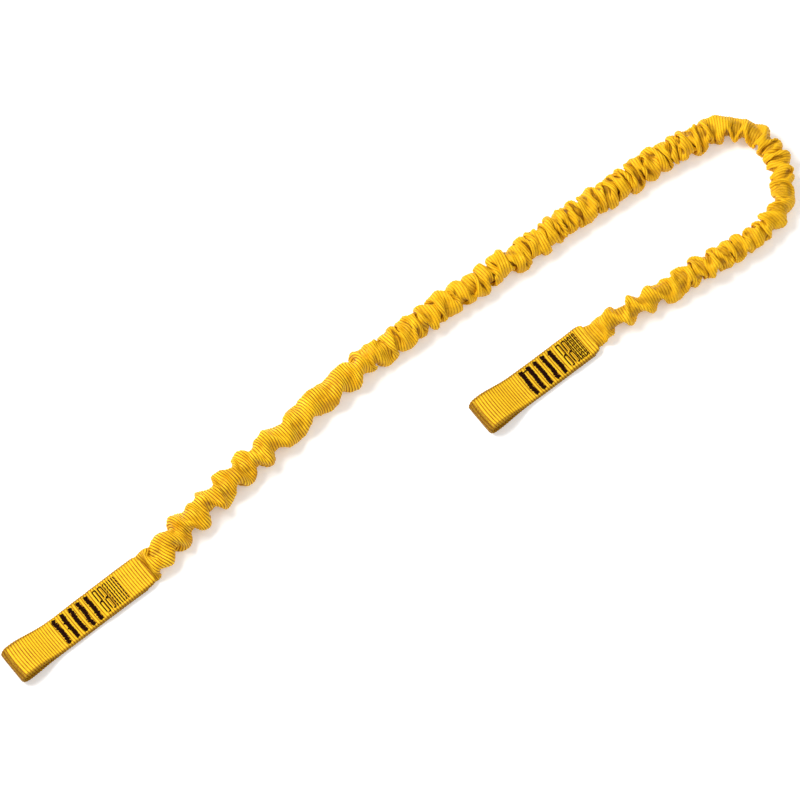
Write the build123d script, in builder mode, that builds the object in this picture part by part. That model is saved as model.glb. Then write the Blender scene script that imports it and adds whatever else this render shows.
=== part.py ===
from build123d import *
import math
import os

# Shock absorbing lanyard, relaxed and lying in a U on a flat surface. Millimetres.
# Origin: under the middle of the anchor loop's eye, on the surface that the lanyard lies on.
# +X runs from the anchor loop along the long leg to the bend, +Z is up.

# ---------------------------------------------------------------- driving dimensions
WEB_WIDTH = 26.0  # tubular web pressed flat
WEB_THICK = 2.2  # its two plies
LAYER_GAP = 0.15  # between the band's two layers
EYE_HEIGHT = 10.5  # outside, at the fold
EYE_ORIGIN = 20.0  # from the fold's outer end to the origin
EYE_CROWN_END = 15.0  # where the upper layer starts to come down
EYE_CLOSED = 42.0  # where the two layers meet
CORE_RAMP = 3.5  # length over which the upper layer thickens where the core tails start
PLY = 0.9  # one ply of the web over the core tails
ABSORBER_TAIL = (20.0, 1.8)
ELASTIC_TAIL = (10.0, 0.7)

BAR_SIZE = (3.0, 21.5)  # a bar tack: along the band, across the band
BAR_CAP = (3.8, 22.5, 0.5)
BAR_COUNT = 5
ROW_TOP = (0.8, 20.0, 0.3)  # a row of fine stitches: along, across, height above the web
ROW_LEG = (0.8, 1.2)  # where its thread goes down through the band: along, across
ROW_LEGS = (-8.5, -2.8, 2.8, 8.5)
LOCK_ROWS = 4
LOCK_PITCH = 2.6
SEAM_ROWS = 3

JACKET_RADIUS = 12.5  # outside of the gathered jacket
JACKET_BORE = 5.5
ABSORBER_RADIUS = 5.2
ABSORBER_BORE = 3.3
ELASTIC_RADIUS = 3.0
SLEEVE_HEIGHT = JACKET_RADIUS

# Each loop: the fold's x and the middle's y, then along the band from the fold: the band's and
# the tail's length, the first bar tack, the bar tacks' pitch, the core zone's start and its seam rows' pitch
LOOPS = {
    "anchor": (-EYE_ORIGIN, 0.0, 128.0, 120.0, 47.5, 7.6, 84.0, 4.0),
    "harness": (378.5, -63.5, 108.0, 104.0, 48.5, 7.0, 82.5, 3.0),
}

# The sleeve's route, seen from above: out of the anchor neck, round the bend, back to the harness neck
ROUTE = [
    (128, 1),
    (166, 9),
    (212, 14),
    (258, 16),
    (304, 22),
    (350, 26),
    (402, 25.5),
    (452, 23.5),
    (504, 20),
    (556, 18.5),
    (606, 13),
    (640, 8),
    (666, 5),
    (683, -6),
    (690, -25),
    (685, -47),
    (675, -66),
    (657, -77),
    (630, -79),
    (594, -74),
    (558, -71),
    (528, -68),
    (506, -64.5),
]
# The sleeve is cut across in the middle of these runs, counted from the anchor neck
LONG_LEG_CUT = 6
BEND_CUTS = (12, 13, 15, 16)
SHORT_LEG_CUT = 18

ARC_SHARE = 0.45  # of the shorter run beside a corner


def corner_radii(points):
    """The radius of the arc at each inner point of a route."""
    radii = []
    for before, here, after in zip(points, points[1:], points[2:]):
        arriving = Vector(*here) - Vector(*before)
        leaving = Vector(*after) - Vector(*here)
        shorter = min(arriving.length, leaving.length)
        half_turn = math.radians(arriving.get_angle(leaving)) / 2
        radii.append(ARC_SHARE * shorter / math.tan(half_turn))
    return radii


SLEEVE = [(x, y, SLEEVE_HEIGHT) for x, y in ROUTE]
RADII = corner_radii(SLEEVE)
print("sleeve radii:", [round(r) for r in RADII])


def mid_run(run):
    """The middle of a run of the route."""
    return tuple((a + b) / 2 for a, b in zip(SLEEVE[run], SLEEVE[run + 1]))


def stretch(first_cut, last_cut):
    """The part of the route between two cuts, and its corners' radii. None means the route's own end."""
    start = 0 if first_cut is None else first_cut + 1
    stop = len(SLEEVE) if last_cut is None else last_cut + 1
    points = list(SLEEVE[start:stop])
    if first_cut is not None:
        points.insert(0, mid_run(first_cut))
    if last_cut is not None:
        points.append(mid_run(last_cut))
    corners = range(1 if first_cut is None else start, len(SLEEVE) - 1 if last_cut is None else stop)
    return points, [RADII[corner - 1] for corner in corners]


def save(part, label):
    part.label = label
    export_step(part, f"parts/{label}.step")


os.makedirs("parts", exist_ok=True)

# ---------------------------------------------------------------- the two sewn loops
for end, (fold_x, middle_y, band, tail, first_bar, bar_pitch, core_zone, seam_pitch) in LOOPS.items():
    lower_mid = WEB_THICK / 2
    upper_mid = WEB_THICK * 1.5 + LAYER_GAP
    fold_radius = (EYE_HEIGHT - WEB_THICK) / 2
    fold_centre = fold_radius + WEB_THICK / 2
    eye_top = EYE_HEIGHT - WEB_THICK / 2
    core_height = 2 * PLY + ABSORBER_TAIL[1]
    core_mid = WEB_THICK + LAYER_GAP + core_height / 2
    band_top = core_mid + core_height / 2
    bar_top = 2 * WEB_THICK + LAYER_GAP

    side = Plane(origin=(fold_x, middle_y, 0), x_dir=(1, 0, 0), z_dir=(0, -1, 0))
    across = Plane(origin=(fold_x, middle_y, 0), x_dir=(0, 1, 0), z_dir=(1, 0, 0))
    floor = Plane(origin=(fold_x, middle_y, 0))

    bars = [first_bar + bar_pitch * n for n in range(BAR_COUNT)]
    locks = [core_zone + 2.5 + LOCK_PITCH * n for n in range(LOCK_ROWS)]
    seams = [locks[-1] + seam_pitch * (n + 1) for n in range(SEAM_ROWS)]
    legs = [(x, y) for x in locks + seams for y in ROW_LEGS]

    # One web: the tail's cut end, back along the surface, round the fold, over the eye, to the core zone
    with BuildPart() as loop_web:
        with BuildLine(side) as web_path:
            tail_run = Line((tail, lower_mid), (fold_centre, lower_mid))
            fold = TangentArc(tail_run @ 1, (fold_centre, eye_top), tangent=tail_run % 1)
            crown = Line(fold @ 1, (EYE_CROWN_END, eye_top))
            halfway = ((EYE_CROWN_END + EYE_CLOSED) / 2, (eye_top + upper_mid) / 2)
            fall = TangentArc(crown @ 1, halfway, tangent=crown % 1)
            meet = TangentArc(fall @ 1, (EYE_CLOSED, upper_mid), tangent=fall % 1)
            Line(meet @ 1, (core_zone - CORE_RAMP, upper_mid))
        start = Plane(origin=web_path.line @ 0, x_dir=(0, 1, 0), z_dir=web_path.line % 0)
        with BuildSketch(start):
            SlotOverall(WEB_WIDTH, WEB_THICK)
        sweep(path=web_path.line)
        with BuildSketch(across.offset(core_zone - CORE_RAMP)):
            with Locations((0, upper_mid)):
                SlotOverall(WEB_WIDTH, WEB_THICK)
        with BuildSketch(across.offset(core_zone)):
            with Locations((0, core_mid)):
                SlotOverall(WEB_WIDTH, core_height)
        loft()
        with BuildSketch(across.offset(core_zone)):
            with Locations((0, core_mid)):
                SlotOverall(WEB_WIDTH, core_height)
        extrude(amount=band - core_zone)
        with BuildSketch(across.offset(core_zone)):
            with Locations((0, core_mid)):
                Rectangle(*ABSORBER_TAIL)
        extrude(amount=band - core_zone, mode=Mode.SUBTRACT)
        with BuildSketch(floor):
            with Locations(*[(x, 0) for x in bars]):
                Rectangle(*BAR_SIZE)
            with Locations(*legs):
                Rectangle(*ROW_LEG)
        extrude(amount=EYE_HEIGHT, mode=Mode.SUBTRACT)
    save(loop_web.part, f"{end}_loop_web")

    # Heavy bar tacks: the thread fills a slot through both layers and stands proud on top
    for number, x in enumerate(bars, 1):
        with BuildPart() as bar_tack:
            with BuildSketch(floor):
                with Locations((x, 0)):
                    Rectangle(*BAR_SIZE)
            extrude(amount=bar_top)
            with BuildSketch(floor.offset(bar_top)):
                with Locations((x, 0)):
                    RectangleRounded(*BAR_CAP[:2], radius=BAR_CAP[0] * 0.4)
            extrude(amount=BAR_CAP[2])
        save(bar_tack.part, f"{end}_bar_tack_{number}")

    # Fine rows that hold the core tails: close-set lock rows, then open seam rows
    for label, rows in (("lock_stitches", locks), ("seam_stitches", seams)):
        with BuildPart() as stitches:
            with BuildSketch(floor):
                with Locations(*[(x, y) for x in rows for y in ROW_LEGS]):
                    Rectangle(*ROW_LEG)
            extrude(amount=band_top)
            with BuildSketch(floor.offset(band_top)):
                with Locations(*[(x, 0) for x in rows]):
                    Rectangle(*ROW_TOP[:2])
            extrude(amount=ROW_TOP[2])
        save(stitches.part, f"{end}_{label}")

    # The absorber's flattened end inside the upper layer, and the elastic's end inside that
    with BuildPart() as absorber_tail:
        with BuildSketch(across.offset(core_zone)):
            with Locations((0, core_mid)):
                Rectangle(*ABSORBER_TAIL)
                Rectangle(*ELASTIC_TAIL, mode=Mode.SUBTRACT)
        extrude(amount=band - core_zone)
        with BuildSketch(floor):
            with Locations(*legs):
                Rectangle(*ROW_LEG)
        extrude(amount=EYE_HEIGHT, mode=Mode.SUBTRACT)
    save(absorber_tail.part, f"{end}_absorber_tail")

    with BuildPart() as elastic_tail:
        with BuildSketch(across.offset(core_zone)):
            with Locations((0, core_mid)):
                Rectangle(*ELASTIC_TAIL)
        extrude(amount=band - core_zone)
        with BuildSketch(floor):
            with Locations(*legs):
                Rectangle(*ROW_LEG)
        extrude(amount=EYE_HEIGHT, mode=Mode.SUBTRACT)
    save(elastic_tail.part, f"{end}_elastic_tail")

# ---------------------------------------------------------------- the sleeve's pieces
TUBES = {
    "jacket": (JACKET_RADIUS, JACKET_BORE),
    "absorber": (ABSORBER_RADIUS, ABSORBER_BORE),
    "elastic": (ELASTIC_RADIUS, None),
}


def add_tube(points, radii, kind):
    """Adds a round tube or cord along a stretch of the route to the open part, and returns its path."""
    outer, bore = TUBES[kind]
    with BuildLine() as path:
        FilletPolyline(*points, radius=radii)
    with BuildSketch(Plane(origin=path.line @ 0, z_dir=path.line % 0)) as section:
        Circle(outer)
        if bore:
            Circle(bore, mode=Mode.SUBTRACT)
    sweep(section.sketch, path=path.line)
    return path.wires()[0]


def neck_planes(end):
    """The band's end face, and the sleeve's end face beyond it."""
    fold_x, middle_y, band = LOOPS[end][:3]
    core_mid = WEB_THICK + LAYER_GAP + PLY + ABSORBER_TAIL[1] / 2
    here, beyond = (SLEEVE[0], SLEEVE[1]) if end == "anchor" else (SLEEVE[-1], SLEEVE[-2])
    flat = Plane(origin=(fold_x + band, middle_y, core_mid), x_dir=(0, 1, 0), z_dir=(1, 0, 0))
    away = Vector(*beyond) - Vector(*here)
    round_end = Plane(origin=here, x_dir=(-away.Y, away.X, 0), z_dir=away)
    return flat, round_end


def add_neck(end, kind, mode=Mode.ADD):
    """Adds a solid that goes from the band's flat end to the round sleeve to the open part."""
    flat_sizes = {
        "jacket": (WEB_WIDTH / 2, PLY + ABSORBER_TAIL[1] / 2, JACKET_RADIUS),
        "jacket_bore": (ABSORBER_TAIL[0] / 2 + 0.3, ABSORBER_TAIL[1] / 2 + 0.3, JACKET_BORE),
        "absorber": (ABSORBER_TAIL[0] / 2, ABSORBER_TAIL[1] / 2, ABSORBER_RADIUS),
        "absorber_bore": (ELASTIC_TAIL[0] / 2 + 0.2, ELASTIC_TAIL[1] / 2 + 0.15, ABSORBER_BORE),
        "elastic": (ELASTIC_TAIL[0] / 2, ELASTIC_TAIL[1] / 2, ELASTIC_RADIUS),
    }
    half_width, half_height, radius = flat_sizes[kind]
    flat, round_end = neck_planes(end)
    with BuildSketch(flat) as flat_face:
        Ellipse(half_width, half_height)
    with BuildSketch(round_end) as round_face:
        Circle(radius)
    loft([flat_face.sketch, round_face.sketch], mode=mode)


def report_tube(label, part, line, kind, extra=0.0):
    outer, bore = TUBES[kind]
    section = math.pi * (outer**2 - (bore or 0) ** 2)
    ratio = (part.volume - extra) / (section * line.length)
    print(f"{label}: length {line.length:.1f}, volume over section times length {ratio:.4f}")


JACKETS = {
    "long_leg_jacket_near": (None, LONG_LEG_CUT),
    "long_leg_jacket_far": (LONG_LEG_CUT, BEND_CUTS[0]),
    "bend_jacket_1": (BEND_CUTS[0], BEND_CUTS[1]),
    "bend_jacket_2": (BEND_CUTS[1], BEND_CUTS[2]),
    "bend_jacket_3": (BEND_CUTS[2], BEND_CUTS[3]),
    "short_leg_jacket_far": (BEND_CUTS[3], SHORT_LEG_CUT),
    "short_leg_jacket_near": (SHORT_LEG_CUT, None),
}
CORES = {
    "long_leg": (None, BEND_CUTS[0], "anchor"),
    "bend_1": (BEND_CUTS[0], BEND_CUTS[1], None),
    "bend_2": (BEND_CUTS[1], BEND_CUTS[2], None),
    "bend_3": (BEND_CUTS[2], BEND_CUTS[3], None),
    "short_leg": (BEND_CUTS[3], None, "harness"),
}

for label, (first_cut, last_cut) in JACKETS.items():
    with BuildPart() as jacket:
        line = add_tube(*stretch(first_cut, last_cut), "jacket")
    save(jacket.part, label)
    report_tube(label, jacket.part, line, "jacket")

for end in LOOPS:
    with BuildPart() as neck_jacket:
        add_neck(end, "jacket")
        add_neck(end, "jacket_bore", mode=Mode.SUBTRACT)
    save(neck_jacket.part, f"{end}_neck_jacket")

for place, (first_cut, last_cut, neck_end) in CORES.items():
    with BuildPart() as absorber:
        if neck_end:
            add_neck(neck_end, "absorber")
            add_neck(neck_end, "absorber_bore", mode=Mode.SUBTRACT)
        neck_volume = absorber.part.volume if neck_end else 0.0
        line = add_tube(*stretch(first_cut, last_cut), "absorber")
    save(absorber.part, f"{place}_absorber")
    report_tube(f"{place}_absorber", absorber.part, line, "absorber", neck_volume)

    with BuildPart() as elastic:
        if neck_end:
            add_neck(neck_end, "elastic")
        add_tube(*stretch(first_cut, last_cut), "elastic")
    save(elastic.part, f"{place}_elastic")
for cut in (LONG_LEG_CUT, *BEND_CUTS, SHORT_LEG_CUT):
    print("cut", cut, [round(v, 2) for v in mid_run(cut)])
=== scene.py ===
import itertools
import math

import bpy
import numpy as np
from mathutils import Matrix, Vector


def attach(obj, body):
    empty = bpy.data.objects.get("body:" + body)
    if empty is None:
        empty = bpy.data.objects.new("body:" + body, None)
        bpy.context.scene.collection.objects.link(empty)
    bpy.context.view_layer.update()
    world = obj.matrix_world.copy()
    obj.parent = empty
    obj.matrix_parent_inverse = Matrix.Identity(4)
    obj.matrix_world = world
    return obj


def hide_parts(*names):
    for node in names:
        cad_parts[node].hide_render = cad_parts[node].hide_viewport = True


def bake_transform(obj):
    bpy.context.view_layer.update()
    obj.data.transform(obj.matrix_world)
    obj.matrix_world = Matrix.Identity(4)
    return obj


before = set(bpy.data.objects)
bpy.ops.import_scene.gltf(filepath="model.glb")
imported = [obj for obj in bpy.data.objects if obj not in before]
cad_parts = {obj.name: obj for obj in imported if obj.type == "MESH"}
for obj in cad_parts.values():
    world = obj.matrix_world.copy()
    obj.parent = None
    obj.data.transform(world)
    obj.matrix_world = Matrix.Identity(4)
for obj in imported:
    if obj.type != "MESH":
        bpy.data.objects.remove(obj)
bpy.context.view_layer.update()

# Shock absorbing lanyard: two sewn loops of ribbed tubular web, joined by one long sleeve of the same
# web that is gathered over its cores. The meshes are worked out in millimetres, and MM turns them into
# metres. Constants in millimetres end in _MM; other lengths are in metres.
MM = 0.001

# ---- dimensions
# The CAD source's, except that the eyes stand 2 mm higher and the band's rise over the cores is 1 mm
# nearer the fold and 0.5 mm shorter.
WEB_WIDTH_MM = 26.0
WEB_THICK_MM = 2.2
LAYER_GAP_MM = 0.15
EYE_HEIGHT_MM = 12.5
EYE_CROWN_END_MM = 11.0  # from the fold, where the eye's top starts to fall
EYE_CLOSED_MM = 42.0  # and where it lies on the tail
CORE_RAMP_MM = 3.0
CORE_HEIGHT_MM = 3.6
LOCKS_PAST_RAMP_MM = 1.0
LOCK_ROWS = 4
LOCK_PITCH_MM = 2.6
SEAM_ROWS = 3
BAR_COUNT = 5

LOWER_MID_MM = WEB_THICK_MM / 2
UPPER_MID_MM = WEB_THICK_MM * 1.5 + LAYER_GAP_MM
FOLD_RADIUS_MM = (EYE_HEIGHT_MM - WEB_THICK_MM) / 2
CORE_MID_MM = WEB_THICK_MM + LAYER_GAP_MM + CORE_HEIGHT_MM / 2
BAND_TOP_MM = CORE_MID_MM + CORE_HEIGHT_MM / 2
BAR_SEAT_MM = 2 * WEB_THICK_MM + LAYER_GAP_MM

# The fold's x and the middle's y, then places along the band from the fold and the rows' pitches, in mm
LOOPS = {
    "anchor": dict(fold=-20.0, middle=0.0, band=128.0, tail=120.0,
                   first_bar=47.5, bar_pitch=7.6, core_zone=83.0, seam_pitch=4.0),
    "harness": dict(fold=378.5, middle=-63.5, band=108.0, tail=104.0,
                    first_bar=48.5, bar_pitch=7.0, core_zone=81.5, seam_pitch=3.0),
}

# The sleeve's route, with a neck at each end that climbs off the flat band
LAID = 0.0118  # the height of its middle where it lies down
ROUTE = [
    (0.105, 0.000, 0.00415), (0.117, 0.0010, 0.0060), (0.128, 0.0025, 0.0108),
    (0.166, 0.0095, LAID), (0.212, 0.0155, LAID), (0.258, 0.0192, LAID),
    (0.304, 0.0237, LAID), (0.350, 0.0256, LAID), (0.402, 0.0240, LAID),
    (0.452, 0.0222, LAID), (0.504, 0.0205, LAID), (0.556, 0.0198, LAID),
    (0.606, 0.0170, LAID), (0.641, 0.0125, LAID), (0.6675, 0.007, LAID),
    (0.684, -0.006, LAID), (0.6915, -0.026, LAID), (0.6870, -0.048, LAID),
    (0.6755, -0.067, LAID), (0.657, -0.0783, LAID), (0.630, -0.0802, LAID),
    (0.594, -0.0755, LAID), (0.558, -0.0718, LAID), (0.528, -0.068, LAID),
    (0.506, -0.0645, 0.0108), (0.496, -0.0637, 0.0060), (0.4835, -0.0635, 0.00415),
]

# ---- camera
CAMERA_AZIMUTH = -38.5
CAMERA_ELEVATION = 70.0
CAMERA_LENS = 400.0
CAMERA_DISTANCE = 6.75
CAMERA_TARGET = Vector((0.343, -0.012, 0.0))


def add_object(name, data):
    obj = bpy.data.objects.new(name, data)
    bpy.context.scene.collection.objects.link(obj)
    return obj


def aim(obj, azimuth, elevation, distance):
    """Puts a camera or a light there as seen from the target, looking at it."""
    a, e = math.radians(azimuth), math.radians(elevation)
    towards = Vector((math.sin(a) * math.cos(e), -math.cos(a) * math.cos(e), math.sin(e)))
    obj.location = CAMERA_TARGET + towards * distance
    obj.rotation_euler = (-towards).to_track_quat("-Z", "Y").to_euler()


def add_camera():
    data = bpy.data.cameras.new("camera")
    data.lens = CAMERA_LENS
    data.sensor_width = 36.0
    data.clip_start, data.clip_end = 0.05, 40.0
    camera = add_object("camera", data)
    aim(camera, CAMERA_AZIMUTH, CAMERA_ELEVATION, CAMERA_DISTANCE)
    bpy.context.scene.camera = camera


# ---- the sleeve's centreline
LINE_STEP_MM = 0.1
LINE_RESOLUTION = 48
TANGENT_BLUR = 40  # steps of the line to each side


class Centreline:
    """The route's NURBS curve as evenly spaced points with a sideways and an upward direction, in mm."""

    def __init__(self, points):
        data = bpy.data.curves.new("sleeve_route", "CURVE")
        data.dimensions = "3D"
        data.resolution_u = LINE_RESOLUTION
        spline = data.splines.new("NURBS")
        spline.points.add(len(points) - 1)
        for control, place in zip(spline.points, points):
            control.co = (*place, 1.0)
        spline.order_u = 3
        spline.use_endpoint_u = True
        curve = add_object("sleeve_route", data)
        bpy.context.view_layer.update()
        evaluated = curve.evaluated_get(bpy.context.evaluated_depsgraph_get())
        mesh = bpy.data.meshes.new_from_object(evaluated)
        self.read = np.array([v.co[:] for v in mesh.vertices])
        bpy.data.objects.remove(curve)
        bpy.data.meshes.remove(mesh)

        places = self.read / MM
        reach = reach_along(places)
        self.read_reach = reach
        self.length = reach[-1]
        self.reach = np.arange(0, self.length, LINE_STEP_MM)
        self.point = np.stack([np.interp(self.reach, reach, places[:, k]) for k in range(3)], 1)
        tangent = np.gradient(self.point, axis=0)
        blur = np.hanning(2 * TANGENT_BLUR + 1)
        blur /= blur.sum()
        padded = np.pad(tangent, ((TANGENT_BLUR, TANGENT_BLUR), (0, 0)), mode="edge")
        tangent = np.stack([np.convolve(padded[:, k], blur, "valid") for k in range(3)], 1)
        self.along = unit(tangent)
        self.side = unit(np.stack([-self.along[:, 1], self.along[:, 0], np.zeros_like(self.reach)], 1))
        self.up = np.cross(self.along, self.side)

    def index(self, reach):
        return np.clip(np.rint(reach / LINE_STEP_MM).astype(int), 0, len(self.reach) - 1)

    def reach_near(self, x, y):
        """How far along the line its nearest point to x, y is."""
        away = np.hypot(self.point[:, 0] - x, self.point[:, 1] - y)
        return float(self.reach[np.argmin(away)])


# ---- gathering the sleeve
RIB_PITCH_MM = 2.3
RIB_HEIGHT_MM = 0.5
WEB_GIRTH_MM = 54.5
SEED = 7

# Tables along the sleeve, as (mm from the anchor band, value). How much web is gathered in each mm:
GATHER = [(0, 1.15), (10, 1.5), (45, 1.4), (135, 1.35), (150, 1.13), (215, 1.13), (228, 1.5), (270, 1.7),
          (340, 1.8), (358, 2.0), (425, 2.1), (435, 1.5), (452, 1.5), (460, 2.1), (550, 2.2), (560, 1.5),
          (575, 1.25), (593, 1.3), (600, 1.6), (612, 2.0), (640, 2.0), (646, 1.3), (668, 1.3), (680, 1.6),
          (700, 1.7), (712, 1.95), (755, 1.9), (765, 1.3), (790, 1.3), (805, 1.4), (825, 1.35), (837, 1.15)]
# the folds' wavelength:
WAVE_MM = [(0, 14), (45, 16), (135, 17), (150, 15), (215, 15), (228, 12), (340, 11), (358, 9), (425, 8.5),
           (440, 14), (452, 14), (460, 8.5), (550, 8.5), (565, 16), (590, 16), (612, 8), (640, 8), (650, 16),
           (668, 16), (685, 12), (712, 9), (755, 9), (768, 15), (837, 13)]
# how firmly folds keep their places, and the web's stiffness:
HOLD = [(0, 0.6), (135, 0.6), (228, 0.75), (350, 0.9), (837, 0.9)]
BEND = [(0, 0.24), (150, 0.28), (215, 0.28), (228, 0.22), (350, 0.15), (575, 0.15), (605, 0.2), (837, 0.2)]
# how much of the folding goes evenly round the sleeve:
EVEN = [(0, 0.6), (220, 0.6), (350, 1.4), (570, 1.4), (600, 0.9), (837, 0.9)]
# the girth of the web's middle against the web's own, which its thickness in the folds takes up:
FULLNESS = [(0, 1.03), (20, 1.11), (220, 1.1), (350, 1.04), (360, 1.09), (550, 1.11), (590, 0.94),
            (640, 0.88), (700, 0.9), (715, 0.95), (760, 0.98), (805, 0.95), (837, 0.83)]
# the cores that the web lies on:
CORE_RADIUS_MM = [(0, 6.4), (220, 6.4), (350, 5.8), (560, 5.6), (640, 5.3), (837, 5.6)]
# the spacing of the relaxed mesh's rings:
RING_MM = [(0, 2.4), (220, 2.4), (235, 2.0), (340, 1.9), (358, 1.7), (550, 1.7), (570, 2.2), (600, 2.2),
           (612, 1.8), (640, 1.8), (650, 2.2), (680, 2.0), (705, 1.8), (755, 1.8), (768, 2.3), (837, 2.4)]
# how much of the ribs' painted highlight and shade, and of the creases' painted shade, shows:
RIB_SHOWS = [(0, 1.0), (215, 0.95), (235, 0.65), (350, 0.42), (560, 0.38), (580, 0.28), (700, 0.33),
             (837, 0.5)]
CREASE_SHOWS = [(0, 1.0), (560, 1.0), (600, 0.7), (837, 0.75)]

# The tube that the relaxation starts from: flat at the bands, round between them
AROUND = 28
NECK_MM = 22.0
START_WIDTH_MM = 21.4
START_HEIGHT_MM = 2.6
START_PROUD_MM = 0.6
START_DEPTH = (0.3, 0.09)  # mm, and mm more for each mm of wavelength
START_EASE_MM = 8
FLAT_CORE_MM = (10.4, 1.1)
FOLD_BANDWIDTH = 0.28  # spread of the folds' frequencies, 1 being the wavelength's own
FOLD_LOBES = 1.6  # how fast swellings with more lobes round the sleeve fade

# The relaxation, for each of its steps
RELAX_STEPS = 480
SPEED_KEPT = 0.9
MOST_STEP_MM = 0.5
SINK_MM = 0.004
PRESSURE = 0.012
SLANT_PULL = 0.25  # of what a diagonal is too long or too short by
ROUND_STIFFNESS = 1.2  # times the stiffness along the sleeve
CLOTH_MM = 1.75  # how near the web comes to itself
SEARCH_REACH = 1.6  # times CLOTH_MM
SEARCH_EVERY = 12
PUSH = 0.4
PUSH_GAIN = 1.3
OUTER_MM = 14.8
FLOOR_MM = 0.35
HOLD_BLUR = 9


def hump(distance, width):
    """1 at no distance, and next to nothing at twice the width."""
    return np.exp(-((distance / width) ** 2))


def smooth_step(t):
    return t * t * (3 - 2 * t)


def running_sum(steps):
    return np.concatenate([[0], np.cumsum(steps)])


def reach_along(points):
    """How far along a line of points each one is."""
    return running_sum(np.linalg.norm(np.diff(points, axis=0), axis=1))


def unit(vectors):
    return vectors / np.linalg.norm(vectors, axis=-1, keepdims=True)


def knots(table, reach):
    """A table's value at each reach."""
    return np.interp(reach, [k for k, _ in table], [v for _, v in table])


def stadium(count, half_width, half_height):
    """Points round a flat oval at even spacing, from its side edge over its top: sideways and up."""
    straight = 2 * (half_width - half_height)
    arc = math.pi * half_height
    girth = 2 * (straight + arc)
    # adding the girth only rounds the last digits, but the sleeve's folds depend on them
    along = (np.arange(count) / count * girth + girth) % girth

    def on_arc(centre, a):
        return centre + half_height * math.cos(a), half_height * math.sin(a)

    out = np.zeros((count, 2))
    for k, p in enumerate(along + arc / 2):
        if p < arc:
            out[k] = on_arc(straight / 2, -math.pi / 2 + p / half_height)
        elif p < arc + straight:
            out[k] = (straight / 2 - (p - arc), half_height)
        elif p < 2 * arc + straight:
            out[k] = on_arc(-straight / 2, math.pi / 2 + (p - arc - straight) / half_height)
        elif p < 2 * arc + 2 * straight:
            out[k] = (-straight / 2 + (p - 2 * arc - straight), -half_height)
        else:
            out[k] = on_arc(straight / 2, -math.pi / 2 + (p - 2 * arc - 2 * straight) / half_height)
    return out


def core_size(line, reach, flat, radius):
    """A core's half width and half height: a flat tail at each band, a round cord between them."""
    ease = np.clip(np.minimum(reach, line.length - reach) / NECK_MM, 0, 1)
    return flat[0] + (radius - flat[0]) * ease, flat[1] + (radius - flat[1]) * ease


def fold_pattern(rng, reach, turn):
    """Random swellings of the sleeve at the folds' own wavelength, mostly to one side or the other."""
    count = 4096
    phase = running_sum(np.diff(reach) / knots(WAVE_MM, reach[1:]))
    span = phase[-1] * 1.2
    frequency = np.abs(np.fft.fftfreq(count, d=span / count))
    band = hump(frequency - 1, FOLD_BANDWIDTH)
    at = np.arange(count) * span / count
    pattern = np.zeros((len(reach), len(turn)))
    for lobes in range(4):
        weight = math.exp(-((lobes / FOLD_LOBES) ** 2)) * (knots(EVEN, reach)[:, None] if lobes == 0 else 1.0)
        for wave in (np.cos, np.sin) if lobes else (np.cos,):
            noise = np.real(np.fft.ifft(np.fft.fft(rng.normal(size=count)) * band))
            noise /= noise.std()
            pattern += weight * np.interp(phase, at, noise)[:, None] * wave(lobes * turn)[None, :]
    return pattern / pattern.std()


def near_pairs(points, radius):
    """Pairs of points of the sleeve nearer than the radius that aren't neighbours in the web."""
    cell = np.floor(points / radius).astype(np.int64)
    cell -= cell.min(0)
    size = cell.max(0) + 3
    key = (cell[:, 0] * size[1] + cell[:, 1]) * size[2] + cell[:, 2]
    order = np.argsort(key, kind="stable")
    ordered = key[order]
    found = []
    for to in itertools.product((0, 1), (-1, 0, 1), (-1, 0, 1)):
        if to < (0, 0, 0):
            continue
        offset = (to[0] * size[1] + to[1]) * size[2] + to[2]
        low = np.searchsorted(ordered, key + offset, "left")
        many = np.searchsorted(ordered, key + offset, "right") - low
        a = np.repeat(np.arange(len(points)), many)
        b = order[np.repeat(low - running_sum(many)[:-1], many) + np.arange(len(a))]
        if offset == 0:
            a, b = a[a < b], b[a < b]
        found.append(np.stack([a, b], 1))
    a, b = np.concatenate(found).T
    rings = np.abs(a // AROUND - b // AROUND)
    turns = np.abs(a % AROUND - b % AROUND)
    turns = np.minimum(turns, AROUND - turns)
    apart = points[a] - points[b]
    keep = ((rings > 1) | (turns > 1)) & ((apart * apart).sum(1) < radius * radius)
    return a[keep], b[keep]


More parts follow.
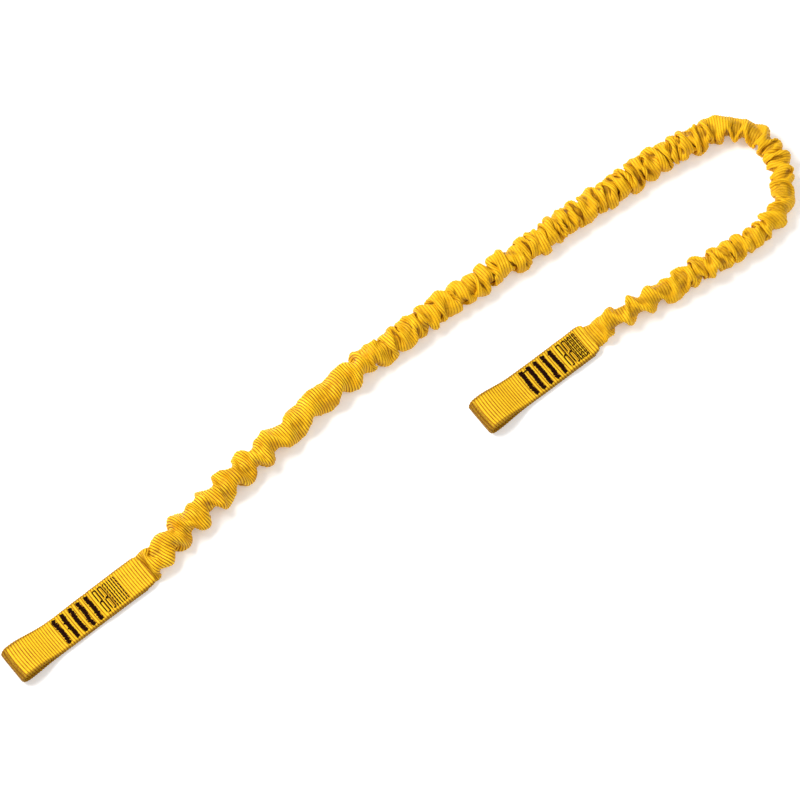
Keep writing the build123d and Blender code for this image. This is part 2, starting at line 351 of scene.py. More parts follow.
def gather(line):
    """Relaxes a tube of web that is longer than its path into folds. Returns its rings of points, in mm,
    and their places along the web and along the line."""
    rng = np.random.default_rng(SEED)
    reach = np.linspace(0, line.length, 6000)
    web = running_sum(knots(GATHER, (reach[1:] + reach[:-1]) / 2) * np.diff(reach))
    ribs = round(web[-1] / RIB_PITCH_MM)
    web *= ribs * RIB_PITCH_MM / web[-1]
    rings = running_sum(np.diff(web) / knots(RING_MM, reach[1:]))
    count = int(round(rings[-1])) + 1
    along_web = np.interp(np.linspace(0, rings[-1], count), rings, web)
    ring_mm = np.diff(along_web)[:, None, None]
    home = np.interp(along_web, web, reach)
    turn = np.linspace(0, 2 * math.pi, AROUND, endpoint=False)
    girth = WEB_GIRTH_MM * knots(FULLNESS, home)
    radius = (girth / (2 * math.pi))[:, None]

    at = line.index(home)
    centre, along, side, up = line.point[at], line.along[at], line.side[at], line.up[at]
    from_end = np.minimum(home, line.length - home)
    ease = smooth_step(np.clip(from_end / NECK_MM, 0, 1))[:, None]
    depth = (START_DEPTH[0] + START_DEPTH[1] * knots(WAVE_MM, home)) * np.clip(from_end / START_EASE_MM, 0, 1)
    swell = radius + START_PROUD_MM + depth[:, None] * fold_pattern(rng, home, turn)
    flat = stadium(AROUND, START_WIDTH_MM / 2, START_HEIGHT_MM / 2)
    across = flat[None, :, 0] * (1 - ease) + swell * np.cos(turn) * ease
    above = flat[None, :, 1] * (1 - ease) + swell * np.sin(turn) * ease
    x = centre[:, None] + across[..., None] * side[:, None] + above[..., None] * up[:, None]

    core_side, core_up = core_size(line, line.reach, FLAT_CORE_MM, knots(CORE_RADIUS_MM, line.reach))

    free = np.ones((count, 1, 1))
    free[[0, -1]] = 0
    hoop = (girth / AROUND)[:, None, None]
    slant = np.hypot(ring_mm, hoop[1:])
    hold = knots(HOLD, home)
    stiff = knots(BEND, home)[:, None, None] * free
    blur = np.hanning(HOLD_BLUR)[1:-1]
    blur /= blur.sum()

    def pull(a, b, weight_a, weight_b, rest, share):
        apart = b - a
        length = np.sqrt((apart * apart).sum(-1, keepdims=True)) + 1e-9
        step = apart * (share * (length - rest) / length / (weight_a + weight_b + 1e-9))
        return step * weight_a, -step * weight_b

    def pull_rings(x, first, shift, rest, share):
        a, b = x[first:-1:2], np.roll(x, -shift, 1)[first + 1::2]
        n = min(len(a), len(b))
        rest = rest[first::2][:n]
        da, db = pull(a[:n], b[:n], free[first:-1:2][:n], free[first + 1::2][:n], rest, share)
        x[first:first + 2 * n:2] += da
        x[first + 1:first + 1 + 2 * n:2] += np.roll(db, shift, 1)

    def pull_round(x, first):
        a, b = x[:, first::2], np.roll(x, -1, 1)[:, first::2]
        da, db = pull(a, b, free, free, hoop, 1.0)
        x[:, first::2] += da
        x[:, (np.arange(AROUND)[first::2] + 1) % AROUND] += db

    def push_apart(x, pairs):
        a, b = pairs
        flat_x = x.reshape(-1, 3)
        apart = flat_x[a] - flat_x[b]
        length = np.sqrt((apart * apart).sum(1)) + 1e-9
        close = length < CLOTH_MM
        a, b, apart, length = a[close], b[close], apart[close], length[close]
        step = apart * (PUSH * (CLOTH_MM - length) / length)[:, None]
        size = len(flat_x)
        total = np.stack([np.bincount(a, step[:, k], size) - np.bincount(b, step[:, k], size)
                          for k in range(3)], 1)
        hits = np.bincount(a, minlength=size) + np.bincount(b, minlength=size)
        share = total / np.maximum(hits, 1)[:, None]
        flat_x = flat_x + share * PUSH_GAIN * np.repeat(free.ravel(), AROUND)[:, None]
        return flat_x.reshape(x.shape)

    speed = np.zeros_like(x)
    for step in range(RELAX_STEPS):
        before = x.copy()
        x = x + speed * SPEED_KEPT
        x[..., 2] -= SINK_MM * free[..., 0]
        x += PRESSURE * outward(x) * free
        for first in (0, 1, 0, 1):
            pull_rings(x, first, 0, ring_mm, 1.0)
        for first in (0, 1):
            pull_round(x, first)
        for first in (0, 1):
            for shift in (1, -1):
                pull_rings(x, first, shift, slant, SLANT_PULL)
        # stiffness takes off what changes in the bow from point to point, along the sleeve and round it
        bow = np.zeros_like(x)
        bow[1:-1] = (x[:-2] + x[2:]) / 2 - x[1:-1]
        change = np.zeros_like(x)
        change[1:-1] = (bow[:-2] + bow[2:]) / 2 - bow[1:-1]
        x -= stiff * change
        bow = (np.roll(x, 1, 1) + np.roll(x, -1, 1)) / 2 - x
        x -= ROUND_STIFFNESS * stiff * ((np.roll(bow, 1, 1) + np.roll(bow, -1, 1)) / 2 - bow)
        if step % SEARCH_EVERY == 0:
            pairs = near_pairs(x.reshape(-1, 3), CLOTH_MM * SEARCH_REACH)
        x = push_apart(x, pairs)

        # folds keep their places along the line, and the web stays between the cores and the outer limit
        drift = ((x - centre[:, None]) * along[:, None]).sum(-1)
        mean = np.pad(drift.mean(1), len(blur) // 2, mode="edge")
        back = hold * np.convolve(mean, blur, "valid")
        x -= back[:, None, None] * along[:, None] * free
        at = line.index(home[:, None] + drift - back[:, None])
        away = x - line.point[at]
        a = (away * line.side[at]).sum(-1)
        h = (away * line.up[at]).sum(-1)
        inner = np.sqrt((a / core_side[at]) ** 2 + (h / core_up[at]) ** 2) + 1e-9
        outer = np.sqrt(a * a + h * h) / OUTER_MM
        scale = np.where(inner < 1, 1 / inner, np.where(outer > 1, 1 / outer, 1.0)) - 1
        scale *= free[..., 0]
        x += (scale * a)[..., None] * line.side[at] + (scale * h)[..., None] * line.up[at]
        x[..., 2] = np.maximum(x[..., 2], FLOOR_MM)
        speed = x - before
        length = np.sqrt((speed * speed).sum(-1, keepdims=True))
        speed *= np.minimum(1, MOST_STEP_MM / np.maximum(length, 1e-9))
    return x, along_web, home


# ---- mesh helpers
def smooth_rows(rows, at, wrap):
    """Rows of points read between their own places, on a smooth curve through them."""
    count = len(rows)
    i = np.floor(at).astype(int)
    if not wrap:
        i = np.clip(i, 0, count - 2)
    t = (at - i).reshape((-1,) + (1,) * (rows.ndim - 1))

    def row(k):
        return rows[k % count] if wrap else rows[np.clip(k, 0, count - 1)]

    a, b, c, d = row(i - 1), row(i), row(i + 1), row(i + 2)
    return 0.5 * (2 * b + (c - a) * t + (2 * a - 5 * b + 4 * c - d) * t * t
                  + (3 * b - a - 3 * c + d) * t ** 3)


def rib(phase):
    """A web rib's height from -0.5 in its groove to 0.5, with the phase counted in ribs."""
    return np.abs(np.sin(math.pi * phase)) ** 0.7 - 0.5


def outward(rows):
    """The normals of a tube given as rings of points that turn round +along from side to up."""
    along = np.gradient(rows, axis=0)
    around = np.roll(rows, -1, 1) - np.roll(rows, 1, 1)
    normal = np.cross(around, along)
    return normal / (np.linalg.norm(normal, axis=2, keepdims=True) + 1e-12)


UV_PER_MM = 0.01


def tube_object(name, rows, along, girth, values, material, caps=False):
    """A mesh from rings of points in mm, with places along and round the web as its UV map, and values
    as named point attributes."""
    count, around = rows.shape[:2]
    i = np.arange(count - 1)[:, None] * around
    j = np.arange(around)[None, :]
    k = (j + 1) % around
    faces = np.stack([i + j, i + k, i + around + k, i + around + j], -1).reshape(-1, 4)
    u = np.stack([along[:-1], along[:-1], along[1:], along[1:]], -1)[:, None, :] + 0 * j[..., None]
    v = np.stack([j, j + 1, j + 1, j], -1) * (girth / around) + 0 * i[..., None]
    corners = np.stack([u, v], -1).reshape(-1, 2)
    mesh = bpy.data.meshes.new(name)
    mesh.vertices.add(count * around)
    mesh.vertices.foreach_set("co", (rows * MM).astype(np.float32).ravel())
    starts = np.arange(len(faces)) * 4
    loops = faces.ravel()
    if caps:
        starts = np.concatenate([starts, [len(loops), len(loops) + around]])
        last = (count - 1) * around
        loops = np.concatenate([loops, np.arange(around)[::-1], np.arange(last, last + around)])
        corners = np.concatenate([corners, np.zeros((2 * around, 2))])
    mesh.loops.add(len(loops))
    mesh.loops.foreach_set("vertex_index", loops.astype(np.int32))
    mesh.polygons.add(len(starts))
    mesh.polygons.foreach_set("loop_start", starts.astype(np.int32))
    mesh.update(calc_edges=True)
    mesh.polygons.foreach_set("use_smooth", np.ones(len(starts), bool))
    uv = (corners * UV_PER_MM).astype(np.float32)
    mesh.uv_layers.new(name="web").data.foreach_set("uv", uv.ravel())
    for label, value in values.items():
        attribute = mesh.attributes.new(label, "FLOAT", "POINT")
        attribute.data.foreach_set("value", np.broadcast_to(value, rows.shape[:2]).astype(np.float32).ravel())
    mesh.materials.append(material)
    return add_object(name, mesh)


# ---- materials
class Nodes:
    """A new material, its node tree and its Principled shader."""

    def __init__(self, name):
        self.material = bpy.data.materials.new(name)
        self.material.use_nodes = True
        self.tree = self.material.node_tree
        self.shader = self.tree.nodes["Principled BSDF"]

    def feed(self, node, inputs):
        """Sets a node's inputs, or links them where the value is another node's output."""
        for key, value in inputs.items():
            if isinstance(value, bpy.types.NodeSocket):
                self.tree.links.new(value, node.inputs[key])
            else:
                node.inputs[key].default_value = value

    def add(self, kind, output, inputs, **settings):
        node = self.tree.nodes.new("ShaderNode" + kind)
        for key, value in settings.items():
            setattr(node, key, value)
        self.feed(node, inputs)
        return node.outputs[output]

    def attribute(self, name):
        return self.add("Attribute", "Fac", {}, attribute_name=name)

    def noise(self, place, scale, detail):
        return self.add("TexNoise", "Fac", {"Vector": place, "Scale": scale, "Detail": detail})

    def bands(self, place, scale, distortion, way="DIAGONAL", **inputs):
        inputs = {"Vector": place, "Scale": scale, "Distortion": distortion, **inputs}
        return self.add("TexWave", "Fac", inputs, wave_type="BANDS", bands_direction=way)

    def mix(self, share, a, b):
        # 0, 6 and 7 are the node's factor and its two colours, and output 2 is the mixed colour
        return self.add("Mix", 2, {0: share, 6: a, 7: b}, data_type="RGBA")

    def math(self, operation, a, b, clamp=False):
        return self.add("Math", 0, {0: a, 1: b}, operation=operation, use_clamp=clamp)

    def scaled(self, value, gain, plus, clamp=False):
        return self.math("ADD", self.math("MULTIPLY", value, gain), plus, clamp)

    def bump(self, height, strength, distance):
        return self.add("Bump", 0, {"Strength": strength, "Distance": distance, "Height": height})


WEB_YELLOW = (0.90, 0.488, 0.001, 1)
WEB_AMBER = (0.73, 0.289, 0.001, 1)
WEB_PAINTED_HIGHLIGHT = (0.97, 0.70, 0.032, 1)
WEB_GROOVE_SHADE_AND_SPECK = (0.17, 0.032, 0.001, 1)
WEB_PAINTED_SHADE = (0.10, 0.019, 0.0006, 1)


def web_material():
    """Golden nylon web: ribs of weft with fine warp ticks, painted shade in the grooves and creases, and
    painted highlights on the crests.
    """
    n = Nodes("golden_nylon_web")
    uv = n.add("UVMap", 0, {}, uv_map="web")
    rib_value, painted_shade = n.attribute("rib"), n.attribute("painted_shade")
    broad, fine = n.noise(uv, 9.0, 3.0), n.noise(uv, 90.0, 4.0)
    # warp yarns run along the web and show as ticks in the grooves
    warp = n.bands(uv, 26.0, 1.2, "Y", **{"Detail": 1.0, "Detail Scale": 3.0})
    colour = n.mix(n.math("MULTIPLY", broad, 0.85, True), WEB_YELLOW, WEB_AMBER)
    # painted highlight: the ribs' crests mixed towards pale yellow
    crest = n.math("MULTIPLY", n.math("POWER", rib_value, 4.0), 0.62, True)
    colour = n.mix(crest, colour, WEB_PAINTED_HIGHLIGHT)
    # painted shade in the ribs' grooves, broken by the warp ticks
    groove = n.math("MULTIPLY", n.math("SUBTRACT", 0.8, rib_value, True), 2.1, True)
    ticks = n.scaled(warp, 0.55, broad, True)
    colour = n.mix(n.math("MULTIPLY", groove, ticks, True), colour, WEB_GROOVE_SHADE_AND_SPECK)
    # random dark specks of the web's own, in the same brown as the grooves' painted shade
    speck = n.math("MULTIPLY", n.math("SUBTRACT", fine, 0.55, True), 1.9, True)
    colour = n.mix(speck, colour, WEB_GROOVE_SHADE_AND_SPECK)
    # painted shade read from the point attribute (sleeve creases and hollows, the loops' sides, fold faces
    # and tacks), mottled
    mottle = n.scaled(fine, 0.8, 0.35, True)
    colour = n.mix(n.math("MULTIPLY", painted_shade, mottle, True), colour, WEB_PAINTED_SHADE)
    height = n.scaled(warp, 0.6, n.math("MULTIPLY", fine, 0.8))
    n.feed(n.shader, {"Base Color": colour, "Roughness": n.scaled(fine, 0.25, 0.42, True),
                      "Sheen Weight": 0.04, "Sheen Roughness": 0.45, "Sheen Tint": (1.0, 0.78, 0.32, 1),
                      "Specular IOR Level": 0.1, "Normal": n.bump(height, 0.55, 0.0002)})
    return n.material


def thread_material():
    """Near-black bonded sewing thread with a faint purple-brown cast and a twist."""
    n = Nodes("dark_bonded_thread")
    uv = n.add("UVMap", 0, {}, uv_map="web")
    twist, fuzz = n.bands(uv, 60.0, 0.5), n.noise(uv, 140.0, 3.0)
    colour = n.mix(fuzz, (0.007, 0.0011, 0.0006, 1), (0.026, 0.005, 0.0026, 1))
    n.feed(n.shader, {"Base Color": colour, "Roughness": n.scaled(fuzz, 0.3, 0.55, True),
                      "Specular IOR Level": 0.04, "Normal": n.bump(twist, 0.5, 0.0001)})
    return n.material


def core_material(name, low, high, scale):
    """Woven core inside the sleeve, hidden when the lanyard is whole."""
    n = Nodes(name)
    weave = n.bands(n.add("TexCoord", "Object", {}), scale, 2.0)
    n.feed(n.shader, {"Base Color": n.mix(weave, low, high), "Roughness": 0.7,
                      "Normal": n.bump(weave, 0.4, 0.0002)})
    return n.material


# ---- the loops' web
LOOP_AROUND = 72
LOOP_RIB_STEPS = 6
LOOP_STANDS_PROUD = 1.055  # times the CAD band's width
WAVER = 0.008  # of the width, over WAVER_MM of web
WAVER_MM = 17.0
WANDER_POINTS = 14
WANDER_MM = 0.15
FACE_CROWN = 0.10
RIB_BOW = 0.2  # in ribs, across the face, and more near the fold
FOLD_RIB_BOW = 0.25
FOLD_RIB_BOW_MM = 22.0
# the web is pressed wider at the eye and less at the fold itself: by how much, where, and over what length
EYE_SPREAD = 0.07
EYE_WIDEST_MM = 9.0
EYE_SPREAD_MM = 12.0
FOLD_PINCH_MM = 2.2
MOUTH_LENGTH_MM = 9.0
MOUTH_RISE_MM = 1.7
MOUTH_NARROWS = 0.11
MOUTH_SHOULDER_MM = 7.0
# the mouth's lip turns back inside the band: how far in from the band's face, and how far past its end
MOUTH_LIP_MM = [(0.15, 0.3), (0.7, 0.45), (1.2, 0.1), (1.3, -1.5), (1.3, -4.0)]
# threads pull the band in: how deep and how far to each side, and how much more the underside gives
TACK_PULL_MM = (0.5, 1.7)
ROW_PULL_MM = (0.22, 0.9)
UNDERSIDE_GIVES = 1.8
STITCHED_HALF_MM = 11.4
EDGE_BLUR_MM = 1.2
LOOP_FLOOR_MM = 0.02
# painted shade on the web: a little all over, and more on its sides, on the fold's face, by the tacks and in
# the grooves
SHADE, SIDE_SHADE, FOLD_SHADE, TACK_SHADE, GROOVE_SHADE = 0.13, 0.75, 1.1, 0.35, 0.4
SIDE_SHADE_FROM_MM = 11.5
FOLD_FACE_MM = 15.0
TACK_SHADE_MM = 2.2
RIDGE_POWER = 0.75
LIP_RIDGE = 0.6


def band_positions(loop):
    """The x of the bar tacks, the lock rows and the seam rows."""
    bars = [loop["fold"] + loop["first_bar"] + loop["bar_pitch"] * n for n in range(BAR_COUNT)]
    first_lock = loop["fold"] + loop["core_zone"] + LOCKS_PAST_RAMP_MM
    locks = [first_lock + LOCK_PITCH_MM * n for n in range(LOCK_ROWS)]
    seams = [locks[-1] + loop["seam_pitch"] * (n + 1) for n in range(SEAM_ROWS)]
    return bars, locks, seams


def web_line(loop):
    """The web's middle line in x and z, from the tail's cut end round the fold to the band's end, and its
    half thickness there."""
    centre_x = FOLD_RADIUS_MM + WEB_THICK_MM / 2
    centre_z = LOWER_MID_MM + FOLD_RADIUS_MM
    top = centre_z + FOLD_RADIUS_MM
    lower = np.linspace(loop["tail"], centre_x, 400)
    turn = np.linspace(-math.pi / 2, -1.5 * math.pi, 200)[1:]
    fold = np.stack([centre_x + FOLD_RADIUS_MM * np.cos(turn), centre_z + FOLD_RADIUS_MM * np.sin(turn)], 1)
    upper = np.linspace(centre_x, loop["band"], 1200)[1:]
    fall = np.clip((upper - EYE_CROWN_END_MM) / (EYE_CLOSED_MM - EYE_CROWN_END_MM), 0, 1)
    thicken = np.clip((upper - loop["core_zone"] + CORE_RAMP_MM) / CORE_RAMP_MM, 0, 1)
    height = (top - (top - UPPER_MID_MM) * smooth_step(fall)
              + (CORE_MID_MM - UPPER_MID_MM) * smooth_step(thicken))
    line = np.concatenate([np.stack([lower, np.full(len(lower), LOWER_MID_MM)], 1), fold,
                           np.stack([upper, height], 1)])
    open_up = np.clip((upper - loop["band"] + MOUTH_LENGTH_MM) / MOUTH_LENGTH_MM, 0, 1) ** 2
    half = np.concatenate([np.full(len(line) - len(upper), WEB_THICK_MM / 2),
                           WEB_THICK_MM / 2 + (CORE_HEIGHT_MM - WEB_THICK_MM) / 2 * thicken
                           + MOUTH_RISE_MM * open_up])
    line[:, 0] += loop["fold"]
    return line, half


def loop_web(end, material, seed):
    """A loop's web: the tail, the eye round the fold, and the band over the tail and the cores."""
    loop = LOOPS[end]
    rng = np.random.default_rng(seed)
    line, half = web_line(loop)
    reach = reach_along(line)
    ribs = reach[-1] / RIB_PITCH_MM
    steps = int(ribs * LOOP_RIB_STEPS)
    phase = (np.arange(steps + 1) - steps) / LOOP_RIB_STEPS  # in ribs, 0 at the band's end
    at = reach[-1] + phase * RIB_PITCH_MM
    x, z = np.interp(at, reach, line[:, 0]), np.interp(at, reach, line[:, 1])
    thick = np.interp(at, reach, half)
    along = unit(np.stack([np.gradient(x), np.gradient(z)], 1))
    normal = np.stack([-along[:, 1], along[:, 0]], 1)  # up on the band, down on the tail side
    sunk = RIB_HEIGHT_MM / 2  # so that the ribs' crests are at the web's size
    section = np.stack([stadium(LOOP_AROUND, WEB_WIDTH_MM / 2 - sunk, t - sunk) for t in thick])
    y, h = section[..., 0], section[..., 1]
    crown = 1 - (y / (WEB_WIDTH_MM / 2)) ** 2
    # a little life: the edges wander, the faces crown
    wander = np.interp(at, np.linspace(0, reach[-1], WANDER_POINTS),
                       rng.normal(size=WANDER_POINTS) * WANDER_MM)
    from_fold = x - loop["fold"]
    near_mouth = np.clip((from_fold - loop["band"] + MOUTH_SHOULDER_MM) / MOUTH_SHOULDER_MM, 0, 1)
    shoulder = 1 - MOUTH_NARROWS * near_mouth ** 2.5 * (along[:, 0] > 0)
    eye = EYE_SPREAD * (hump(from_fold - EYE_WIDEST_MM, EYE_SPREAD_MM) - hump(from_fold, FOLD_PINCH_MM))
    width = (LOOP_STANDS_PROUD + WAVER * np.sin(at / WAVER_MM) + eye) * shoulder
    y = y * width[:, None] + wander[:, None]
    h = h * (1 + FACE_CROWN * (h > 0) * crown)
    rows = np.stack([x[:, None] + normal[:, None, 0] * h, loop["middle"] + y,
                     z[:, None] + normal[:, None, 1] * h], -1)
    face = outward(rows)
    bow = (RIB_BOW + FOLD_RIB_BOW * hump(from_fold, FOLD_RIB_BOW_MM))[:, None] * crown * np.sign(h)
    ridge = rib(phase[:, None] + bow)
    rows += face * (RIB_HEIGHT_MM * ridge)[..., None]

    bars, locks, seams = band_positions(loop)
    inside = np.clip((STITCHED_HALF_MM - np.abs(rows[..., 1] - loop["middle"])) / EDGE_BLUR_MM, 0, 1)
    pull = np.zeros(rows.shape[:2])
    for places, (depth, reach_x) in ((bars, TACK_PULL_MM), (locks + seams, ROW_PULL_MM)):
        for place in places:
            pull += depth * hump(rows[..., 0] - place, reach_x) * inside
    upper = (face[..., 2] > 0.5) & (along[:, 0] > 0.9)[:, None]
    lower = (face[..., 2] < -0.5) & (rows[..., 2] < 1.0)
    rows[..., 2] += np.where(lower, UNDERSIDE_GIVES * pull, 0) - np.where(upper, pull, 0)
    rows[..., 2] = np.maximum(rows[..., 2], LOOP_FLOOR_MM)

    # painted shade where the tacks pucker the web, on its side edges and on the fold's face
    near_tack = np.max([hump(rows[..., 0] - place, TACK_SHADE_MM) for place in bars], 0) * inside
    side = np.clip((np.abs(y) - SIDE_SHADE_FROM_MM) / EDGE_BLUR_MM, 0, 1)
    fold_face = np.clip((-face[..., 0] - 0.2) / 0.4, 0, 1) * (from_fold < FOLD_FACE_MM)[:, None]
    ridge = (ridge + 0.5) ** RIDGE_POWER
    painted_shade = (SHADE + np.maximum(SIDE_SHADE * side, FOLD_SHADE * fold_face) + TACK_SHADE * near_tack
              + GROOVE_SHADE * (1 - ridge) ** 2)
    painted_shade = np.clip(painted_shade, 0, 1)

    lip, lip_painted_shade = [], []
    for inset, past in MOUTH_LIP_MM:
        ring = stadium(LOOP_AROUND, WEB_WIDTH_MM / 2 - sunk - inset, thick[-1] - sunk - inset)
        across = loop["middle"] + ring[:, 0] * LOOP_STANDS_PROUD * shoulder[-1] + wander[-1]
        lip.append(np.stack([np.full(LOOP_AROUND, x[-1] + past), across, z[-1] + ring[:, 1]], 1))
        # painted shade, deeper the further the lip turns in
        lip_painted_shade.append(np.full(LOOP_AROUND, min(0.95, 0.2 + inset * 0.6)))
    rows = np.concatenate([rows, np.array(lip)])
    painted_shade = np.concatenate([painted_shade, np.array(lip_painted_shade)])
    ridge = np.concatenate([ridge, np.full((len(lip), LOOP_AROUND), LIP_RIDGE)])
    at = np.concatenate([at, at[-1] + 0.5 * np.arange(1, len(lip) + 1)])
    return tube_object(f"{end}_loop_web_fabric", rows, at, WEB_GIRTH_MM, {"rib": ridge, "painted_shade": painted_shade},
                       material, caps=True)


# ---- threads
BAR_THREAD_MM = 0.42  # radii
FINE_THREAD_MM = 0.44
THREAD_SIDES = 7
THREAD_STEPS = 3
THREAD_END = 0.35  # times the radius
UNDER_CLEAR_MM = 0.08  # between the underside's threads and the floor
# a bar tack: its half length, and its passes' turns, reach to each side and lift
BAR_HALF_MM = 11.1
BAR_PASSES = ((33, 1.6, 0.0), (19, 1.45, 0.32))
BAR_SINK_MM, BAR_CREST_MM = 0.28, 0.10  # a turn's ends below the tack's seat, and its middle above it
BAR_DRIFT_MM, BAR_DRIFT_TURN = 0.35, 0.33  # a tack wavers from side to side
BAR_UNDER_HALF_MM, BAR_UNDER_TURNS, BAR_UNDER_REACH_MM = 10.4, 27, 1.25
# a loose thread end from a tack: along, across and up
BAR_TAIL_MM = ((0.6, 9.2, 0.25), (2.6, 8.9, 0.42), (4.6, 9.3, 0.40), (6.4, 8.8, 0.25))
# a row of running stitches, and one of them: above, across and down into the web; below, across
DASHES_FROM_MM, DASHES_TO_MM, DASH_PITCH_MM = -9.4, 9.5, 3.1
DASH_MM = ((-1.15, 0.38), (-0.75, 0.0), (0.75, 0.0), (1.15, 0.38))
UNDER_DASH_MM = (0.45, 1.5, 2.6)
# a long box stitch: its two spans across the band, and its corners
LOCK_SPANS_MM = ((-9.9, -0.4), (0.4, 9.9))
LOCK_CORNER_MM = 0.55
LOCK_WIDER_MM = 0.15  # above than below


def thread_rows(points, radius):
    """Rings of points round a thread that follows the points, in mm."""
    points = np.asarray(points, float)
    tangent = np.gradient(points, axis=0)
    tangent /= np.linalg.norm(tangent, axis=1, keepdims=True) + 1e-9
    normal = np.zeros_like(points)
    last = np.array([0.0, 0.0, 1.0])
    for k, t in enumerate(tangent):
        last = last - t * (last @ t)
        if np.linalg.norm(last) < 0.2:
            last = np.array([1.0, 0.0, 0.0]) - t * t[0]
        last /= np.linalg.norm(last)
        normal[k] = last
    other = np.cross(tangent, normal)
    turn = np.linspace(0, 2 * math.pi, THREAD_SIDES, endpoint=False)
    size = np.full(len(points), radius)
    size[[0, -1]] *= THREAD_END
    ring = np.cos(turn)[None, :, None] * other[:, None] + np.sin(turn)[None, :, None] * normal[:, None]
    return points[:, None] + ring * size[:, None, None]


def thread_object(name, threads, radius, material):
    """One mesh of many threads, each a list of points in mm."""
    parts = []
    for number, points in enumerate(threads):
        at = np.linspace(0, len(points) - 1, (len(points) - 1) * THREAD_STEPS + 1)
        smooth = smooth_rows(np.asarray(points, float), at, False)
        rows = thread_rows(smooth, radius)
        reach = reach_along(smooth)
        girth = 2 * math.pi * radius
        parts.append(tube_object(f"{name}_{number}", rows, reach, girth, {}, material, caps=True))
    with bpy.context.temp_override(active_object=parts[0], selected_editable_objects=parts):
        bpy.ops.object.join()
    parts[0].name = parts[0].data.name = name
    return parts[0]


def bar_threads(x, middle, rng, tail=False):
    """A dense zigzag over the band, a ragged second pass on it, and the flat zigzag underneath."""
    threads = []
    for count, reach_x, lift in BAR_PASSES:
        zigzag = []
        half = BAR_HALF_MM / (count - 1)
        for k, y in enumerate(np.linspace(-BAR_HALF_MM, BAR_HALF_MM, count)):
            edge = (reach_x + rng.normal() * 0.3) * (1 if k % 2 else -1)
            drift = BAR_DRIFT_MM * math.sin(y * BAR_DRIFT_TURN + x)
            across = middle + y + rng.normal() * 0.12
            zigzag.append((x + edge + drift, across, BAR_SEAT_MM - BAR_SINK_MM + lift))
            if k < count - 1:
                crest = BAR_SEAT_MM + BAR_CREST_MM + lift + rng.normal() * 0.04
                zigzag.append((x + drift, middle + y + half, crest))
        threads.append(zigzag)
    under = []
    for k, y in enumerate(np.linspace(-BAR_UNDER_HALF_MM, BAR_UNDER_HALF_MM, BAR_UNDER_TURNS)):
        edge = (BAR_UNDER_REACH_MM + rng.normal() * 0.15) * (1 if k % 2 else -1)
        under.append((x + edge, middle + y, BAR_THREAD_MM + UNDER_CLEAR_MM))
    threads.append(under)
    if tail:
        threads.append([(x + along, middle + y, BAR_SEAT_MM + up) for along, y, up in BAR_TAIL_MM])
    return threads


def dashes(x, middle, rng, low, high):
    """A row of running stitches across the band, above it at high and on its underside at low."""
    threads = []
    for y in np.arange(DASHES_FROM_MM, DASHES_TO_MM, DASH_PITCH_MM):
        lean = rng.normal() * 0.12
        threads.append([(x + (lean if across > 0 else -lean), middle + y + across, high - sinks)
                        for across, sinks in DASH_MM])
        threads.append([(x, middle + y + across, low) for across in UNDER_DASH_MM])
    return threads


def lock_box(x0, x1, y0, y1, rng, high):
    """A long narrow box stitch: out along one row and back along the next."""
    corner = LOCK_CORNER_MM
    places = [(x0, y0 + corner), (x0, (y0 + y1) / 2), (x0, y1 - corner), (x0 + corner, y1), (x1 - corner, y1),
              (x1, y1 - corner), (x1, (y0 + y1) / 2), (x1, y0 + corner), (x1 - corner, y0),
              (x0 + corner * 1.2, y0)]
    return [(x + rng.normal() * 0.07, y, high + rng.normal() * 0.04) for x, y in places]


def lock_threads(locks, middle, rng, low, high):
    """Box stitches above the band at high, and on its underside at low."""
    threads = []
    for first, second in zip(locks[::2], locks[1::2]):
        for span in LOCK_SPANS_MM:
            y0, y1 = middle + span[0], middle + span[1]
            threads.append(lock_box(first - LOCK_WIDER_MM, second + LOCK_WIDER_MM, y0, y1, rng, high))
            threads.append(lock_box(first, second, y0, y1, rng, low))
    return threads


# ---- the sleeve's fine mesh
RIB_STEPS = 5
FINE_AROUND = 3  # times the relaxed mesh's points round the sleeve
# creases get painted shade near the cores and in hollows
CREASE_SHADE = 0.6
CREASE_RADIUS_MM = 6.6
CREASE_HOLLOW_MM = 0.24
HOLLOW_ROWS = 3
WRINKLE_MM = 0.32
RIB_CELL_ROWS, WRINKLE_CELL_ROWS = 14.0, 7.0
SLEEVE_FLOOR_MM = 0.05


def web_noise(count, seed, cell_rows):
    """Smooth noise over rows of the sleeve, in cells that many rows long and two relaxed points wide."""
    noise = np.random.default_rng(seed).normal(size=(int(count / cell_rows) + 4, AROUND // 2))
    noise = smooth_rows(noise, np.arange(count) / cell_rows + 1, False)
    return smooth_rows(noise.T, np.arange(AROUND * FINE_AROUND) / (2 * FINE_AROUND), True).T


